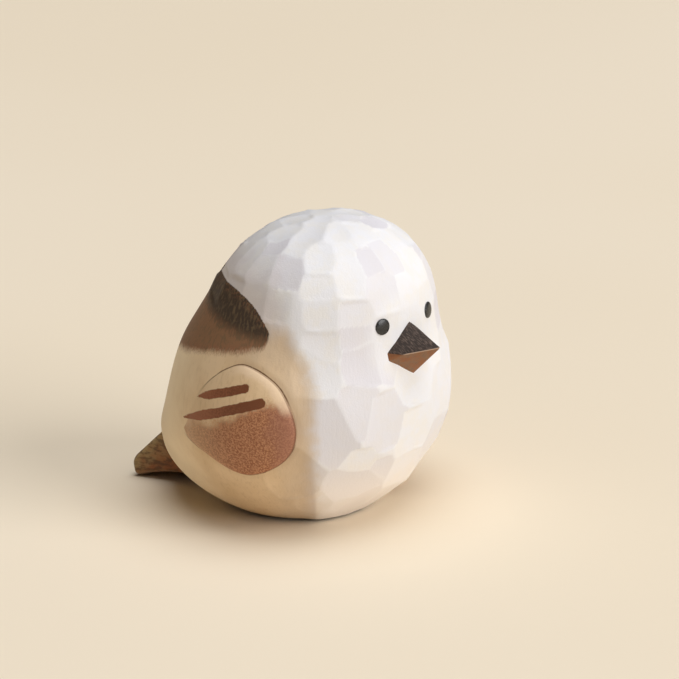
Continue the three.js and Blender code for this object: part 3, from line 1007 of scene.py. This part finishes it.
def beak_paint():
    paint = Paint("beak_paint", roughness=0.55, specular=0.25)
    hairs = paint.noise(0.1, stretch=(1, 9, 12), detail=1, seed=12)
    mottle = paint.noise(1.8, seed=13)
    above = paint.shifted(paint.attribute("above_ridge"), mottle, 0.03)
    lower = paint.mix(paint.step(mottle, 0.4, 0.6), BEAK_BROWN, BEAK_RUST)
    color = paint.mix(paint.step(above, -0.08, 0.08), lower, BEAK_DARK)
    color = paint.mix(paint.times(paint.step(hairs, 0.5, 0.68), 0.75), color, BEAK_LINE)
    corner = paint.shifted(paint.attribute("cut_corner"), mottle, 0.03)
    worn = paint.times(paint.step(paint.math("ABSOLUTE", above), 0.13, 0.04), paint.step(corner, 0, -0.2))
    color = paint.mix(paint.times(worn, 0.85), color, BEAK_WORN)
    color = paint.mix(paint.times(paint.step(corner, -0.05, 0.05), 0.8), color, BEAK_RUST)
    return paint.finish(color, relief=((hairs, 0.05),))


def eye_gloss():
    paint = Paint("eye_gloss", roughness=0.16, specular=0.55)
    smear = paint.noise(0.5, seed=14)
    # painted reflection: a lighter grey ring round the bead's rim, broken up by noise
    rim = paint.step(paint.attribute("from_middle"), 0.7, 1.35)
    color = paint.mix(paint.times(rim, paint.step(smear, 0.3, 0.7)), EYE_BLACK, EYE_RING_REFLECTION)
    return paint.finish(color, relief=((smear, 0.01),), roughness=paint.step(smear, -0.9, 3.0))


def bare_wood():
    paint = Paint("bare_wood", roughness=0.7, specular=0.3)
    grain = paint.noise(0.3, stretch=(1, 12, 8), seed=15)
    color = paint.mix(paint.step(grain, 0.4, 0.65), BARE_WOOD, BARE_GRAIN)
    return paint.finish(color, relief=((grain, 0.03),))


def table_cream():
    paint = Paint("table_cream", roughness=0.85, specular=0.15)
    clouds = paint.noise(160, detail=1, seed=16)
    color = paint.mix(paint.step(clouds, 0.2, 0.8), FLOOR_CREAM, FLOOR_LIGHT)
    return paint.finish(color)


# ---------------------------------------------------------------- stage, light and camera

CAMERA_AZIMUTH = -50.8
CAMERA_ELEVATION = 20.1
CAMERA_DISTANCE = 0.7
CAMERA_LENS = 200.4
CAMERA_SENSOR = 36
AIM_RIGHT = 0.00775  # how far the camera looks past the origin, as shares of the distance
AIM_UP = 0.04209
BACKDROP = (226, 217, 204)
FLOOR_RINGS = [0.05 * 1.35**i for i in range(18)]  # radii, in metres
FLOOR_AROUND = 64
LIGHT_DISTANCE = 6.0
LIGHT_TARGET = Vector((0, 0, 0.02))  # the lamps face this point in the bird
WORLD_LIGHT = 0.02  # how strongly the surroundings light the scene


def direction(azimuth, elevation):
    a, e = math.radians(azimuth), math.radians(elevation)
    return Vector((math.sin(a) * math.cos(e), -math.cos(a) * math.cos(e), math.sin(e)))


def add_camera():
    back = direction(CAMERA_AZIMUTH, CAMERA_ELEVATION)
    right = Vector((0, 0, 1)).cross(back).normalized()
    up = back.cross(right)
    camera = bpy.data.objects.new("camera", bpy.data.cameras.new("camera"))
    camera.data.lens = CAMERA_LENS
    camera.data.sensor_width = CAMERA_SENSOR
    camera.data.clip_end = 50
    camera.location = back * CAMERA_DISTANCE
    aim = -back + AIM_RIGHT * right + AIM_UP * up
    camera.rotation_euler = aim.to_track_quat("-Z", "Y").to_euler()
    bpy.context.scene.collection.objects.link(camera)
    bpy.context.scene.camera = camera


def add_floor():
    """A flat round table, far larger than the view."""
    points = [(0, 0, 0)]
    faces = []
    for reach in FLOOR_RINGS:
        for i in range(FLOOR_AROUND):
            angle = 2 * math.pi * i / FLOOR_AROUND
            points.append((reach * math.cos(angle), reach * math.sin(angle), 0))
    for i in range(FLOOR_AROUND):
        beside = (i + 1) % FLOOR_AROUND
        faces.append((0, 1 + i, 1 + beside))
        for ring in range(len(FLOOR_RINGS) - 1):
            inner = 1 + ring * FLOOR_AROUND
            outer = inner + FLOOR_AROUND
            faces.append((inner + i, outer + i, outer + beside, inner + beside))
    mesh = bpy.data.meshes.new("floor")
    mesh.from_pydata(points, [], faces)
    mesh.materials.append(table_cream())
    floor = bpy.data.objects.new("floor", mesh)
    bpy.context.scene.collection.objects.link(floor)


def add_light(name, azimuth, elevation, size, power):
    """A round lamp of this size across that faces the bird."""
    lamp = bpy.data.lights.new(name, "AREA")
    lamp.shape = "DISK"
    lamp.size = size
    lamp.energy = power
    light = bpy.data.objects.new(name, lamp)
    towards = direction(azimuth, elevation)
    light.location = towards * LIGHT_DISTANCE + LIGHT_TARGET
    light.rotation_euler = (-towards).to_track_quat("-Z", "Y").to_euler()
    bpy.context.scene.collection.objects.link(light)


def set_light():
    """A broad lamp in front, a broad one overhead, a weak one behind, and a pale backdrop."""
    add_light("key", azimuth=8, elevation=24, size=4.8, power=265)
    add_light("overhead", azimuth=30, elevation=81, size=6.0, power=292)
    add_light("fill", azimuth=-125, elevation=14, size=3.2, power=13)
    bpy.context.scene.world = studio_world()
    bpy.context.scene.view_settings.view_transform = "Standard"


def studio_world():
    """The lamps give nearly all the light: the surroundings are seen pale but hardly light the bird."""
    world = bpy.data.worlds.new("studio")
    world.use_nodes = True
    nodes, links = world.node_tree.nodes, world.node_tree.links
    background = nodes["Background"]
    background.inputs["Color"].default_value = (*linear(BACKDROP), 1)
    strength = nodes.new("ShaderNodeMapRange")
    strength.inputs["To Min"].default_value = WORLD_LIGHT
    strength.inputs["To Max"].default_value = 1
    links.new(nodes.new("ShaderNodeLightPath").outputs["Is Camera Ray"], strength.inputs["Value"])
    links.new(strength.outputs["Result"], background.inputs["Strength"])
    return world


# ---------------------------------------------------------------- the bird


def build_bird():
    build_body(body_paint())
    wing_material = wing_paint()
    build_wing("right_wing", -1, wing_material)
    build_wing("left_wing", 1, wing_material)
    build_tail(tail_paint())
    build_beak(beak_paint())
    eye_material = eye_gloss()
    build_eye("right_eye", eye_material)
    build_eye("left_eye", eye_material)
    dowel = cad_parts["tail_dowel"]
    dowel.data.materials.clear()
    dowel.data.materials.append(bare_wood())


build_bird()
add_floor()
set_light()
add_camera()
